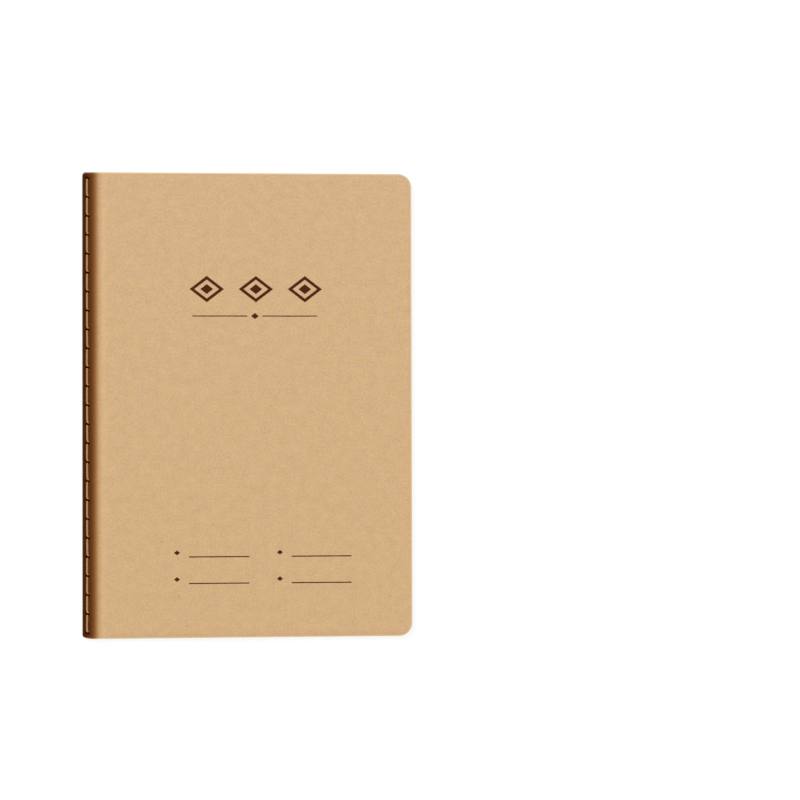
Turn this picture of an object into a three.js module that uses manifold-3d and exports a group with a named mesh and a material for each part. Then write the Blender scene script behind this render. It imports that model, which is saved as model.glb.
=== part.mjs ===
// Exercise notebook: one kraft card cover folded round thirty ruled leaves and sewn through near the spine.
// Millimetres, +Z up. It lies closed on its back cover with the spine towards -X and the head towards +Y.
// The origin is under the middle of the closed book.
import * as THREE from "three";
import { mergeGeometries, mergeVertices } from "three/addons/utils/BufferGeometryUtils.js";
import Module from "manifold-3d";

const wasm = await Module();
wasm.setup();

// Cover: a sheet of card folded over the spine, with a crease on each side that its boards turn on
const COVER_WIDTH = 184;
const COVER_HEIGHT = 260;
const COVER_CARD = 0.35;
const FORE_CORNER_RADIUS = 7.5;
const SPINE_CORNER_RADIUS = 2;
const CREASE_FROM_SPINE = 11;
const CREASE_CLEARANCE = 0.15;

// Leaves: a stack trimmed just inside the cover, with a film of air above each leaf
const LEAF_COUNT = 30;
const LEAF_THICKNESS = 0.1;
const LEAF_AIR = 0.01;
const LEAF_INSET = 0.3;

// Seam: a lockstitch through every layer, which pulls the covers in until its thread lies level with them
const SEAM_FROM_SPINE = 2.8;
const SEAM_INSET = 3.3;
const STITCH_COUNT = 24;
const THREAD_WIDTH = 0.9;
const THREAD_THICKNESS = 0.45;
const THREAD_CLEARANCE = 0.03;
const THREAD_BELOW_FACE = 0.02;
const LEG_GAP = 0.1;
const BEND_INNER_RADIUS = 0.05;
const LOCK_GAP = 0.3;
const PINCHED_PAST_SEAM = 1;
const PINCH_EASING = 3.5;

// Facets
const CORNER_SEGMENTS = 3;
const FOLD_SEGMENTS = 5;
const HOLE_SIDES = 8;
const BEND_SEGMENTS = 2;

// Worked out from the sizes above
const leafPitch = LEAF_THICKNESS + LEAF_AIR;
const stackThickness = LEAF_COUNT * leafPitch;
const bookThickness = stackThickness + 2 * COVER_CARD;
const spineX = -COVER_WIDTH / 2;
const foreX = COVER_WIDTH / 2;
const headY = COVER_HEIGHT / 2;
const creaseX = spineX + CREASE_FROM_SPINE;
const seamX = spineX + SEAM_FROM_SPINE;
const seamPinch = THREAD_THICKNESS + THREAD_CLEARANCE + THREAD_BELOW_FACE;
const seamHalfThickness = bookThickness / 2 - seamPinch;
const pinchEndX = seamX + PINCHED_PAST_SEAM;
const pinchStartX = pinchEndX + PINCH_EASING;
const stitchPitch = (COVER_HEIGHT - 2 * SEAM_INSET) / STITCH_COUNT;
const legOffset = (THREAD_THICKNESS + LEG_GAP) / 2;
const bendRadius = THREAD_THICKNESS / 2 + BEND_INNER_RADIUS;
const facetSlope = Math.tan(Math.PI / HOLE_SIDES);
const holeRadius = legOffset + bendRadius + (THREAD_WIDTH / 4) * facetSlope + THREAD_CLEARANCE;
const holeYs = Array.from({ length: STITCH_COUNT + 1 }, (_, i) => headY - SEAM_INSET - i * stitchPitch);

const kraft = { color: 0xd5b185, roughness: 0.85, metalness: 0 };
const paper = { color: 0xfbf9ec, roughness: 0.9, metalness: 0 };
const cotton = { color: 0xc29a6c, roughness: 0.8, metalness: 0 };

function namedMesh(name, geometry, finish) {
  const mesh = new THREE.Mesh(geometry, new THREE.MeshStandardMaterial(finish));
  mesh.name = name;
  return mesh;
}

function solidOf(geometry) {
  const bare = geometry.clone();
  bare.deleteAttribute("normal");
  bare.deleteAttribute("uv");
  const merged = mergeVertices(bare, 1e-5);
  return new wasm.Manifold(
    new wasm.Mesh({
      numProp: 3,
      vertProperties: merged.attributes.position.array,
      triVerts: new Uint32Array(merged.index.array),
    }),
  );
}

function geometryOf(solid) {
  const mesh = solid.getMesh();
  const geometry = new THREE.BufferGeometry();
  geometry.setAttribute("position", new THREE.BufferAttribute(mesh.vertProperties, 3));
  geometry.setIndex(new THREE.BufferAttribute(mesh.triVerts, 1));
  geometry.computeVertexNormals();
  return geometry;
}

// A flat sheet outline with rounded corners: spineRadius on the left, foreRadius on the right
function sheetOutline(left, right, halfHeight, spineRadius, foreRadius) {
  const quarter = Math.PI / 2;
  const shape = new THREE.Shape();
  shape.moveTo(left + spineRadius, -halfHeight);
  shape.lineTo(right - foreRadius, -halfHeight);
  shape.absarc(right - foreRadius, foreRadius - halfHeight, foreRadius, -quarter, 0);
  shape.lineTo(right, halfHeight - foreRadius);
  shape.absarc(right - foreRadius, halfHeight - foreRadius, foreRadius, 0, quarter);
  shape.lineTo(left + spineRadius, halfHeight);
  if (spineRadius > 0) {
    shape.absarc(left + spineRadius, halfHeight - spineRadius, spineRadius, quarter, 2 * quarter);
    shape.lineTo(left, spineRadius - halfHeight);
    shape.absarc(left + spineRadius, spineRadius - halfHeight, spineRadius, 2 * quarter, 3 * quarter);
  }
  return shape;
}

function sheet(outline, thickness) {
  return new THREE.ExtrudeGeometry(outline, {
    depth: thickness,
    bevelEnabled: false,
    curveSegments: CORNER_SEGMENTS,
  });
}

// A board or leaf that turns on the crease, with the fore edge's corners rounded
function turningSheet(inset, thickness) {
  const outline = sheetOutline(
    creaseX + CREASE_CLEARANCE,
    foreX - inset,
    headY - inset,
    0,
    FORE_CORNER_RADIUS - inset,
  );
  return sheet(outline, thickness);
}

// Adds to a section the pinched line from the crease round the spine and back, a depth in from the cover's face
function traceFold(section, depth, endX) {
  const flat = bookThickness / 2 - depth;
  const pinched = seamHalfThickness - depth;
  const noseX = spineX + seamHalfThickness;
  const easeX = (pinchStartX + pinchEndX) / 2;
  section.moveTo(endX, flat);
  section.lineTo(pinchStartX, flat);
  section.bezierCurveTo(easeX, flat, easeX, pinched, pinchEndX, pinched);
  section.lineTo(noseX, pinched);
  section.absarc(noseX, 0, pinched, Math.PI / 2, (3 * Math.PI) / 2);
  section.lineTo(pinchEndX, -pinched);
  section.bezierCurveTo(easeX, -pinched, easeX, -flat, pinchStartX, -flat);
  section.lineTo(endX, -flat);
}

// Runs a section in the XZ plane from the tail to the head, then trims its corners at the spine
function alongSpine(section, inset) {
  const halfHeight = headY - inset;
  const run = new THREE.ExtrudeGeometry(section, {
    depth: 2 * halfHeight,
    bevelEnabled: false,
    curveSegments: FOLD_SEGMENTS,
  });
  run.rotateX(Math.PI / 2);
  run.translate(0, halfHeight, 0);
  const trim = sheet(
    sheetOutline(spineX, foreX, halfHeight, SPINE_CORNER_RADIUS, FORE_CORNER_RADIUS),
    2 * bookThickness,
  );
  trim.translate(0, 0, -bookThickness);
  return solidOf(run).intersect(solidOf(trim));
}

// The needle's holes, one at each end of every stitch
function seamHoles() {
  const holes = holeYs.map((y) => {
    const hole = new THREE.CylinderGeometry(holeRadius, holeRadius, 2 * bookThickness, HOLE_SIDES);
    hole.rotateX(Math.PI / 2);
    hole.translate(seamX, y, 0);
    return hole;
  });
  return solidOf(mergeGeometries(holes));
}

// The part of the cover that is folded round the spine, between its two creases
function coverSpine() {
  const outer = new THREE.Shape();
  traceFold(outer, 0, creaseX);
  const inner = new THREE.Path();
  traceFold(inner, COVER_CARD, creaseX);
  const points = [
    ...outer.getPoints(FOLD_SEGMENTS),
    ...inner.getPoints(FOLD_SEGMENTS).reverse(),
  ];
  return geometryOf(alongSpine(new THREE.Shape(points), 0).subtract(seamHoles()));
}

// The edge of all the leaves that the seam holds, up to the crease
function sewnEdge() {
  const section = new THREE.Shape();
  traceFold(section, COVER_CARD + LEAF_AIR, creaseX - CREASE_CLEARANCE);
  return geometryOf(alongSpine(section, LEAF_INSET).subtract(seamHoles()));
}

// Places along one arc of the thread, in the seam's own plane, with the way that the thread heads at each
function bend(y, z, radius, from, to) {
  const turn = Math.sign(to - from) * (Math.PI / 2);
  return Array.from({ length: BEND_SEGMENTS + 1 }, (_, i) => {
    const angle = THREE.MathUtils.lerp(from, to, i / BEND_SEGMENTS);
    return {
      y: y + radius * Math.cos(angle),
      z: z + radius * Math.sin(angle),
      heading: angle + turn,
    };
  });
}

// The thread of one side of the lockstitch: over the cover from hole to hole, and down a hole to lock and back
function threadPlaces() {
  const runZ = seamHalfThickness + THREAD_CLEARANCE + THREAD_THICKNESS / 2;
  const bendZ = runZ - bendRadius;
  const lockZ = (LOCK_GAP + THREAD_THICKNESS) / 2 + legOffset;
  const places = [{ y: holeYs[0] - legOffset, z: lockZ, heading: Math.PI / 2 }];
  for (let i = 0; i < STITCH_COUNT; i++) {
    const next = holeYs[i + 1];
    places.push(...bend(holeYs[i] - legOffset - bendRadius, bendZ, bendRadius, 0, Math.PI / 2));
    places.push(...bend(next + legOffset + bendRadius, bendZ, bendRadius, Math.PI / 2, Math.PI));
    if (i < STITCH_COUNT - 1) places.push(...bend(next, lockZ, legOffset, 0, -Math.PI));
  }
  places.push({ y: holeYs[STITCH_COUNT] + legOffset, z: lockZ, heading: -Math.PI / 2 });
  return places;
}

// A flattened six-sided section carried along the thread's places, closed at both ends
function seamThread() {
  const halfWidth = THREAD_WIDTH / 2;
  const halfThickness = THREAD_THICKNESS / 2;
  const section = [
    [halfWidth, 0],
    [halfWidth / 2, halfThickness],
    [-halfWidth / 2, halfThickness],
    [-halfWidth, 0],
    [-halfWidth / 2, -halfThickness],
    [halfWidth / 2, -halfThickness],
  ];
  const places = threadPlaces();
  const positions = places.flatMap(({ y, z, heading }) =>
    section.flatMap(([x, lift]) => [x, y - lift * Math.sin(heading), z + lift * Math.cos(heading)]),
  );
  const sides = section.length;
  const faces = [];
  for (let ring = 0; ring < places.length - 1; ring++) {
    for (let side = 0; side < sides; side++) {
      const a = ring * sides + side;
      const b = ring * sides + ((side + 1) % sides);
      faces.push(a, a + sides, b, b, a + sides, b + sides);
    }
  }
  const last = (places.length - 1) * sides;
  for (let side = 1; side < sides - 1; side++) {
    faces.push(0, side, side + 1, last, last + side + 1, last + side);
  }
  const geometry = new THREE.BufferGeometry();
  geometry.setAttribute("position", new THREE.Float32BufferAttribute(positions, 3));
  geometry.setIndex(faces);
  geometry.computeVertexNormals();
  return geometry;
}

const notebook = new THREE.Group();

const boards = new THREE.Group();
const frontCover = namedMesh("front_cover", turningSheet(0, COVER_CARD), kraft);
frontCover.position.z = bookThickness - COVER_CARD;
const backOutline = sheetOutline(creaseX, foreX, headY, 0, FORE_CORNER_RADIUS);
const backCover = namedMesh("back_cover", sheet(backOutline, COVER_CARD), kraft);
boards.add(frontCover, backCover);

const leaves = new THREE.Group();
leaves.position.z = COVER_CARD + LEAF_AIR / 2;
for (let number = 1; number <= LEAF_COUNT; number++) {
  const name = `leaf_${String(number).padStart(2, "0")}`;
  const leaf = namedMesh(name, turningSheet(LEAF_INSET, LEAF_THICKNESS), paper);
  leaf.position.z = (LEAF_COUNT - number) * leafPitch;
  leaves.add(leaf);
}

// The binding is drawn about the middle of the book's thickness
const binding = new THREE.Group();
binding.position.z = bookThickness / 2;
const needleThread = namedMesh("needle_thread", seamThread(), cotton);
needleThread.position.x = seamX;
const bobbinThread = namedMesh("bobbin_thread", seamThread(), cotton);
bobbinThread.position.x = seamX;
bobbinThread.rotation.y = Math.PI;
binding.add(
  namedMesh("cover_spine", coverSpine(), kraft),
  namedMesh("sewn_edge", sewnEdge(), paper),
  needleThread,
  bobbinThread,
);

notebook.add(boards, leaves, binding);

export default notebook;
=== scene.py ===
import itertools
import math
import random

import bpy
import numpy as np
from bpy.props import FloatProperty, FloatVectorProperty, IntProperty, PointerProperty
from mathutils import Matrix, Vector


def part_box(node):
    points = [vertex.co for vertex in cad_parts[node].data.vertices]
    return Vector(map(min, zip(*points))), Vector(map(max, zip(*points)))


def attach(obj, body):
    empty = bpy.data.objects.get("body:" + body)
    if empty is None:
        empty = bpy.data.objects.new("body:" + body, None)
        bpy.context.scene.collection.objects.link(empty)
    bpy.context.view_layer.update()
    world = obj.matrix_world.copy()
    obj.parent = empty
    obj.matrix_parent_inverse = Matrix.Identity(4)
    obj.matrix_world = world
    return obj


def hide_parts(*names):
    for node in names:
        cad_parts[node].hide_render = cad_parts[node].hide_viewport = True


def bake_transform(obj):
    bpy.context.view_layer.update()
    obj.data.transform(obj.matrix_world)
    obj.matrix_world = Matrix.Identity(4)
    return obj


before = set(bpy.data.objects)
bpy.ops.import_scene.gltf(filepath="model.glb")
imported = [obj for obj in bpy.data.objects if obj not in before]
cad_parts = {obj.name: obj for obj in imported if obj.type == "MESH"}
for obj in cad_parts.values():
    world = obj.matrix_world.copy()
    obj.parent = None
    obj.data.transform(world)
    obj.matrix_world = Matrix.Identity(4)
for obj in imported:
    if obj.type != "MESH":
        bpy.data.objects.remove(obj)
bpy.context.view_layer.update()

bl_info = {
    "name": "Kraft exercise notebook",
    "version": (1, 0, 0),
    "blender": (4, 5, 0),
    "location": "3D View > Sidebar > Notebook",
    "description": "Dresses a side-sewn notebook in kraft card, ruled paper, cotton thread and print",
    "category": "Add Mesh",
}

MM = 0.001
TURNING_LEAVES = 12
LEAF_NAMES = sorted(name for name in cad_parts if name.startswith("leaf_"))
SHEET_MAP = "Sheet"

# Places taken from the frame
board_low, board_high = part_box("front_cover")
back_low, back_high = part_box("back_cover")
wrap_low, wrap_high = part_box("cover_spine")
leaf_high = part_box("leaf_01")[1]
needle_low, needle_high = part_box("needle_thread")

SPINE_X = wrap_low.x
CREASE_X = wrap_high.x
FORE_X = board_high.x
HALF_HEIGHT = board_high.y
BOOK_TOP = board_high.z
MIDDLE_Z = BOOK_TOP / 2
CARD = board_high.z - board_low.z
LEAF_FORE_X = leaf_high.x
LEAF_HALF_HEIGHT = leaf_high.y
THREAD_WIDTH = needle_high.x - needle_low.x
SEAM_X = (needle_low.x + needle_high.x) / 2

# Sizes that the frame's boxes don't give, as the solids have them
FORE_CORNER = 7.5 * MM
SPINE_CORNER = 2 * MM
STITCHES = 24
SEAM_INSET = 3.3 * MM
SEAM_HALF = 1.5 * MM
PINCH_END_X = SEAM_X + 1 * MM
PINCH_START_X = PINCH_END_X + 3.5 * MM
FIRST_HOLE_Y = HALF_HEIGHT - SEAM_INSET
STITCH_PITCH = 2 * FIRST_HOLE_Y / STITCHES
NOSE_X = SPINE_X + SEAM_HALF

# How the card is softened and how the book lies
CARD_EASE_IN = 0.22 * MM
CARD_EASE_DOWN = 0.1 * MM
TAIL_CORNER_WIDE = 7 * MM
TAIL_CORNER_HIGH = 1.9 * MM
FORE_LIFT = 0.6 * MM
HINGE_FLAP = 0.6 * MM
COVER_BEND = 2.6 * MM
LEAF_BEND = 4 * MM
SMOOTH_ANGLE = math.radians(35)

# The needle's slanted slits, each a little nearer the fore edge than the thread, and narrow half way down
HOLE_HALF_WIDE = 0.88 * MM
HOLE_HALF_HIGH = 0.5 * MM
HOLE_ASIDE = 0.28 * MM
HOLE_SLANT = math.radians(20)
HOLE_WAIST = 0.22 * MM

# The thread: its strands, and how far a stitch is squeezed and squashed where it enters a hole
STRANDS = 3
STRAND_SIDES = 7
STITCH_POINTS = 84
END_SQUEEZE = 0.55
FLATNESS = 0.35

# The ruling's places, in millimetres from the crease, the head or the fore edge of the page
FIRST_LINE_DOWN = 21.9
LAST_LINE_DOWN = 247.0
RULE_START = 4.9
RULE_MARGIN = 9.35
HEADER_LINES_DOWN = (11.4, 18.4)
HEADER_MARGIN = 10.5
HEADER_LENGTH = 39.3

# The print's places and sizes, in millimetres from the spine and from the head. A lozenge has two half sizes.
ORNAMENT_PLACES = (69.2, 96.6, 124.0)
ORNAMENT_DOWN = 65.1
ORNAMENT_OUTSIDE = (9.6, 7.4)
ORNAMENT_INSIDE = (6.9, 5.3)
ORNAMENT_CORE = (3.6, 2.8)
DIVIDER_DOWN = 80.2
DIVIDER_ENDS = (61.2, 130.9)
DIVIDER_GAP = 4.2
DIVIDER_WIDTH = 0.6
DIVIDER_LOZENGE = (2.2, 1.7)
FILL_IN_DOWN = (214.8, 229.6)
FILL_IN_ENDS = ((59.1, 92.7), (116.4, 149.9))
FILL_IN_MARK_BEFORE = 6.6
FILL_IN_MARK_RISE = 2.3
FILL_IN_LOZENGE = (1.7, 1.35)
INK_ROUGHNESS = 0.03 * MM
INK_STEP = 0.9 * MM

# The room
FLOOR_REACH = 4.0
FLOOR_BELOW = 0.05 * MM
FLOOR_GLOW = 1.03
FLOOR_BOUNCE = 0.93
SUN_FROM = (-0.42, 0.5, 0.8)
CAMERA_PLACE = (18.4 * MM, -9.7 * MM)
CAMERA_TURNS = (0.706, -3.849, -0.156)


def grey(level):
    return (level, level, level, 1.0)


def opaque(colour):
    return (*colour, 1.0)


def srgb(code):
    """The linear colour of a six-digit hexadecimal one."""
    parts = [int(code[i:i + 2], 16) / 255 for i in (0, 2, 4)]
    return tuple(p / 12.92 if p <= 0.04045 else ((p + 0.055) / 1.055) ** 2.4 for p in parts)


def rgba(code):
    return opaque(srgb(code))


# Settings


def colour_setting(name, what, code):
    return FloatVectorProperty(name=name, description=what, subtype="COLOR", size=3, default=srgb(code))


def length_setting(name, what, default):
    return FloatProperty(name=name, description=what, default=default, unit="LENGTH")


def angle_setting(name, what, degrees):
    return FloatProperty(name=name, description=what, default=math.radians(degrees), subtype="ANGLE")


def number_setting(name, what, default):
    return FloatProperty(name=name, description=what, default=default)


class CoverSettings(bpy.types.PropertyGroup):
    """The card and its finish."""

    kraft: colour_setting("Kraft", "Colour of the card's face", "D5B185")
    cut_edge: colour_setting("Cut edge", "Colour of the card where it is cut", "E6CBA2")
    # Spine brown is the darkest colour of the shade painted along the spine.
    spine_shade_brown: colour_setting("Spine brown", "Darkest colour of the stain along the spine", "441A03")
    fibre_size: length_setting("Fibre size", "Length scale of the card's fibres", 2.2 * MM)
    groove: length_setting("Seam groove", "How deep the thread presses into the card", 0.12 * MM)
    dimple: length_setting("Hole dimple", "How deep the card is drawn in at a needle hole", 0.2 * MM)


class LeafSettings(bpy.types.PropertyGroup):
    """The leaves, their paper and their ruling."""

    paper: colour_setting("Paper", "Colour of a leaf's face", "FDFEF4")
    cut_edge: colour_setting("Cut edge", "Colour of the leaves' cut edges", "FFF5DE")
    rule_grey: colour_setting("Rule", "Colour of the writing lines", "85867B")
    rule_red: colour_setting("Base rule", "Colour of the third line of each group", "93645F")
    group_pitch: length_setting("Group pitch", "From one group of four lines to the next", 21.1 * MM)
    rule_spacing: length_setting("Rule spacing", "Between the lines of a group", 4.15 * MM)
    rule_width: length_setting("Rule width", "Thickness of a printed line", 0.44 * MM)
    base_rule_width: length_setting("Base rule width", "Thickness of the third line of each group", 0.56 * MM)
    trim_spread: length_setting("Trim spread", "How unevenly the leaves' edges line up", 0.12 * MM)
    seed: IntProperty(name="Seed", description="Seed of the uneven trimming", default=5)


class SeamSettings(bpy.types.PropertyGroup):
    """The lockstitch along the spine."""

    cotton: colour_setting("Cotton", "Colour of the thread", "BB9268")
    strand_radius: length_setting("Strand radius", "Radius of one of the thread's three strands", 0.25 * MM)
    fluff: length_setting("Fluff", "How much wider the loose cotton is than the tight core", 0.24 * MM)
    lay_length: length_setting("Lay", "Length in which a strand goes once round the thread", 2.6 * MM)
    drift: length_setting("Drift", "How far a stitch's lower end leans to the fore edge", 0.42 * MM)
    wobble: angle_setting("Wobble", "How much a stitch turns out of line", 0.8)
    seed: IntProperty(name="Seed", description="Seed of the stitches' wobble", default=11)


class PrintSettings(bpy.types.PropertyGroup):
    """The print on the front board."""

    ink: colour_setting("Ink", "Colour of the printing ink", "4E1F0C")
    film: length_setting("Film", "Thickness of the ink", 0.02 * MM)
    rule_width: length_setting("Rule width", "Thickness of a fill-in rule", 0.65 * MM)
    seed: IntProperty(name="Seed", description="Seed of the ink's rough edges", default=3)


class StageSettings(bpy.types.PropertyGroup):
    """The floor, the light and the camera."""

    sky: number_setting("Sky", "Strength of the light from all round", 0.7)
    sun: number_setting("Sun", "Strength of the main lamp", 1.18)
    sun_angle: angle_setting("Sun size", "Angle that the lamp fills, which softens shadows", 28)
    shadow: number_setting("Floor shadow", "How much of the object's shadow the pale floor shows", 0.25)
    camera_height: length_setting("Camera height", "Height of the camera over the table", 1.0)
    lens: number_setting("Lens", "Focal length in millimetres", 79.76)


class NotebookSettings(bpy.types.PropertyGroup):
    """All the notebook's settings."""

    cover: PointerProperty(type=CoverSettings)
    leaves: PointerProperty(type=LeafSettings)
    seam: PointerProperty(type=SeamSettings)
    printing: PointerProperty(type=PrintSettings)
    stage: PointerProperty(type=StageSettings)


# Nodes


class Signal:
    """One output of a node. Arithmetic on it adds math nodes to its graph."""

    def __init__(self, graph, socket):
        self.graph = graph
        self.socket = socket

    def __add__(self, other):
        return self.graph.maths("ADD", self, other)

    def __sub__(self, other):
        return self.graph.maths("SUBTRACT", self, other)

    def __rsub__(self, other):
        return self.graph.maths("SUBTRACT", other, self)

    def __mul__(self, other):
        return self.graph.maths("MULTIPLY", self, other)

    def __truediv__(self, other):
        return self.graph.maths("DIVIDE", self, other)

    def __abs__(self):
        return self.graph.maths("ABSOLUTE", self)


def socket_of(sockets, key):
    """The socket with that number, identifier or name."""
    if isinstance(key, int):
        return sockets[key]
    return next((socket for socket in sockets if socket.identifier == key), None) or sockets[key]


class Graph:
    """Adds nodes to a tree. Each value that it is given may be a Signal."""

    def __init__(self, tree):
        self.tree = tree

    def feed(self, socket, value):
        if isinstance(value, Signal):
            self.tree.links.new(value.socket, socket)
        else:
            socket.default_value = value

    def node(self, kind, inputs=None, **settings):
        """A new node. inputs holds a value for each numbered or named socket."""
        made = self.tree.nodes.new(kind)
        for name, value in settings.items():
            setattr(made, name, value)
        for key, value in (inputs or {}).items():
            self.feed(socket_of(made.inputs, key), value)
        return made

    def put(self, kind, inputs=None, output=0, **settings):
        """One output of a new node."""
        return Signal(self, socket_of(self.node(kind, inputs, **settings).outputs, output))

    def outputs(self, kind, inputs=None, **settings):
        """All the outputs of a new node, by name."""
        return {socket.name: Signal(self, socket) for socket in self.node(kind, inputs, **settings).outputs}

    def group(self, name, build, inputs):
        """The outputs of a node group, which is built the first time that it is asked for."""
        tree = bpy.data.node_groups.get(name) or build(name)
        return self.outputs("ShaderNodeGroup", inputs, node_tree=tree)

    def maths(self, operation, first, second=0.0, third=0.0, clamp=False):
        values = {0: first, 1: second, 2: third}
        return self.put("ShaderNodeMath", values, operation=operation, use_clamp=clamp)

    def larger(self, first, second):
        return self.maths("MAXIMUM", first, second)

    def times_plus(self, value, times, plus, clamp=False):
        return self.maths("MULTIPLY_ADD", value, times, plus, clamp)

    def smooth(self, value, start, end):
        """0 below start, 1 above end and smooth between, or the other way round where start is the larger."""
        ends = {"From Min": min(start, end), "From Max": max(start, end)}
        results = {"To Min": float(start > end), "To Max": float(start < end)}
        values = {"Value": value, **ends, **results}
        return self.put("ShaderNodeMapRange", values, interpolation_type="SMOOTHSTEP")

    def mixed(self, factor, first, second, blend="MIX"):
        """Two colours mixed by a factor."""
        values = {"Factor_Float": factor, "A_Color": first, "B_Color": second}
        return self.put("ShaderNodeMix", values, "Result_Color", data_type="RGBA", blend_type=blend)

    def shaded(self, colour, value):
        """A colour made lighter or darker by a value."""
        level = self.put("ShaderNodeCombineColor", {0: value, 1: value, 2: value})
        return self.mixed(1.0, colour, level, "MULTIPLY")

    def vector(self, *parts):
        return self.put("ShaderNodeCombineXYZ", dict(enumerate(parts)))

    def parts(self, vector):
        """The three numbers of a vector."""
        return list(self.outputs("ShaderNodeSeparateXYZ", {0: vector}).values())

    def vector_maths(self, operation, inputs, output=0):
        return self.put("ShaderNodeVectorMath", inputs, output, operation=operation)

    def scaled(self, vector, scale):
        return self.vector_maths("SCALE", {0: vector, "Scale": scale})

    def length(self, vector):
        return self.vector_maths("LENGTH", {0: vector}, "Value")

    def noise(self, place, scale, detail=2.0, roughness=0.5, distortion=0.0):
        shape = {"Scale": scale, "Detail": detail, "Roughness": roughness, "Distortion": distortion}
        return self.put("ShaderNodeTexNoise", {"Vector": place, **shape}, "Fac")

    def shifted(self, place, offset=(0.0, 0.0, 0.0), turn=0.0, scale=(1.0, 1.0, 1.0)):
        """A place moved, turned about the sheet's own axis and stretched."""
        values = {"Vector": place, "Location": offset, "Rotation": (0.0, 0.0, turn), "Scale": scale}
        return self.put("ShaderNodeMapping", values)

    def attribute(self, name):
        return self.put("ShaderNodeAttribute", output="Fac", attribute_name=name)

    def sheet_place(self):
        """The sheet's own flat coordinates in millimetres: across and along."""
        return self.scaled(self.put("ShaderNodeUVMap", uv_map=SHEET_MAP), 1 / MM)

    def object_place(self):
        """Object coordinates in millimetres."""
        return self.scaled(self.put("ShaderNodeTexCoord", output="Object"), 1 / MM)


def numbers(*labels):
    """A group's sockets for plain numbers."""
    return dict.fromkeys(labels, "Float")


def new_graph(tree_kind, name, inputs, outputs):
    """A node group with those sockets, as a graph, and its inputs by name."""
    graph = Graph(bpy.data.node_groups.new(name, tree_kind))
    for way, sockets in (("INPUT", inputs), ("OUTPUT", outputs)):
        for label, kind in sockets.items():
            graph.tree.interface.new_socket(label, in_out=way, socket_type="NodeSocket" + kind)
    return graph, graph.outputs("NodeGroupInput")


def emptied(block):
    """The graph of a new material or world, without the nodes that it starts with."""
    block.use_nodes = True
    block.node_tree.nodes.clear()
    return Graph(block.node_tree)


def build_pulp(name):
    """Cloudy mottle, fine grain and curled fibres of a pulp sheet. Place is in fibre lengths."""
    inputs = {"Place": "Vector", **numbers("Cloud", "Grain")}
    outputs = numbers("Shade", "Hue", "Dark Fibres", "Light Fibres", "Height")
    g, given = new_graph("ShaderNodeTree", name, inputs, outputs)
    place = given["Place"]
    cloud = g.noise(place, 0.4, 4.0, 0.62) - 0.5
    grain = g.noise(place, 1.9, 3.0, 0.65) - 0.5
    hue = g.noise(g.shifted(place, (19.0, 57.0, 0.0)), 0.75, 3.0, 0.6)

    def fibres(offset, turn, width):
        """Thin curls along the contour of a stretched noise, kept where a second noise is high."""
        spot = g.shifted(place, offset, turn, (0.55, 1.5, 1.0))
        contour = abs(g.noise(spot, 0.9, 1.0, 0.4, 1.4) - 0.5)
        kept = g.smooth(g.noise(g.shifted(place, offset, -turn), 1.3, 1.0), 0.52, 0.62)
        return g.smooth(contour, width, 0.0) * kept

    dark = fibres((13.0, 5.0, 0.0), 0.5, 0.016)
    light = g.larger(fibres((41.0, 27.0, 0.0), -0.7, 0.02), fibres((77.0, 9.0, 0.0), 1.4, 0.016))
    results = {
        "Shade": cloud * given["Cloud"] + grain * given["Grain"],
        "Hue": g.smooth(hue, 0.36, 0.64),
        "Dark Fibres": dark,
        "Light Fibres": light,
        "Height": g.times_plus(g.larger(dark, light), 0.5, grain),
    }
    g.node("NodeGroupOutput", results)
    return g.tree


def build_specks(name):
    """Scattered small specks, each of its own size. Place is in the mean distance between them."""
    inputs = {"Place": "Vector", "Size": "Float"}
    g, given = new_graph("ShaderNodeTree", name, inputs, numbers("Specks"))
    bent = g.shifted(given["Place"], turn=0.4, scale=(1.0, 0.75, 1.0))
    cells = g.outputs("ShaderNodeTexVoronoi", {"Vector": bent, "Scale": 1.0, "Randomness": 1.0})
    chance = g.put("ShaderNodeSeparateColor", {0: cells["Color"]})
    ragged = g.times_plus(g.noise(given["Place"], 9.0, 2.0), 0.5, 0.75)
    near = g.maths("POWER", chance, 3.0) * given["Size"] - cells["Distance"] * ragged
    g.node("NodeGroupOutput", {"Specks": g.smooth(near, 0.0, 0.02)})
    return g.tree


# Finishes. Each recipe gives a colour and the height of the surface.


def painted_spine_shade(g, across, cover):
    """The card's colour by its distance from the fold: painted shade, dark along the spine and fading out by
    the crease.
    """
    stops = (
        (0.0, rgba("55300F")),
        (1.0, rgba("55300F")),
        (2.1, opaque(cover.spine_shade_brown)),
        (3.3, rgba("48200A")),
        (4.6, rgba("5A2D0C")),
        (5.9, rgba("653511")),
        (7.0, rgba("754620")),
        (8.1, rgba("8F6136")),
        (9.2, rgba("AF8256")),
        (10.3, rgba("C8A173")),
        (11.8, rgba("D5B083")),
        (12.8, rgba("D8B588")),
        (15.5, opaque(cover.kraft)),
    )
    reach = stops[-1][0]
    ramp = g.node("ShaderNodeValToRGB", {"Fac": g.maths("DIVIDE", abs(across), reach, clamp=True)})
    points = ramp.color_ramp.elements
    while len(points) < len(stops):
        points.new(0.5)
    for point, (distance, colour) in zip(points, stops):
        point.position = distance / reach
        point.color = colour
    return Signal(g, ramp.outputs["Color"])


def hole_painted_shadow(g, across, along):
    """Painted shadow: a dark slanted blot round each needle hole, on both faces."""
    pitch = STITCH_PITCH / MM
    reach = FIRST_HOLE_Y / MM + pitch / 2
    step = g.maths("FLOORED_MODULO", reach - along, pitch) - pitch / 2
    aside = abs(across) - (FOLD_U_AT_SEAM + HOLE_ASIDE) / MM
    slant = g.times_plus(aside, -math.tan(HOLE_SLANT), step)
    away = g.length(g.vector(aside / (HOLE_HALF_WIDE / MM), slant / (HOLE_HALF_HIGH / MM)))
    return g.smooth(away, 1.7, 1.0) * g.maths("LESS_THAN", abs(along), reach)


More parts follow.
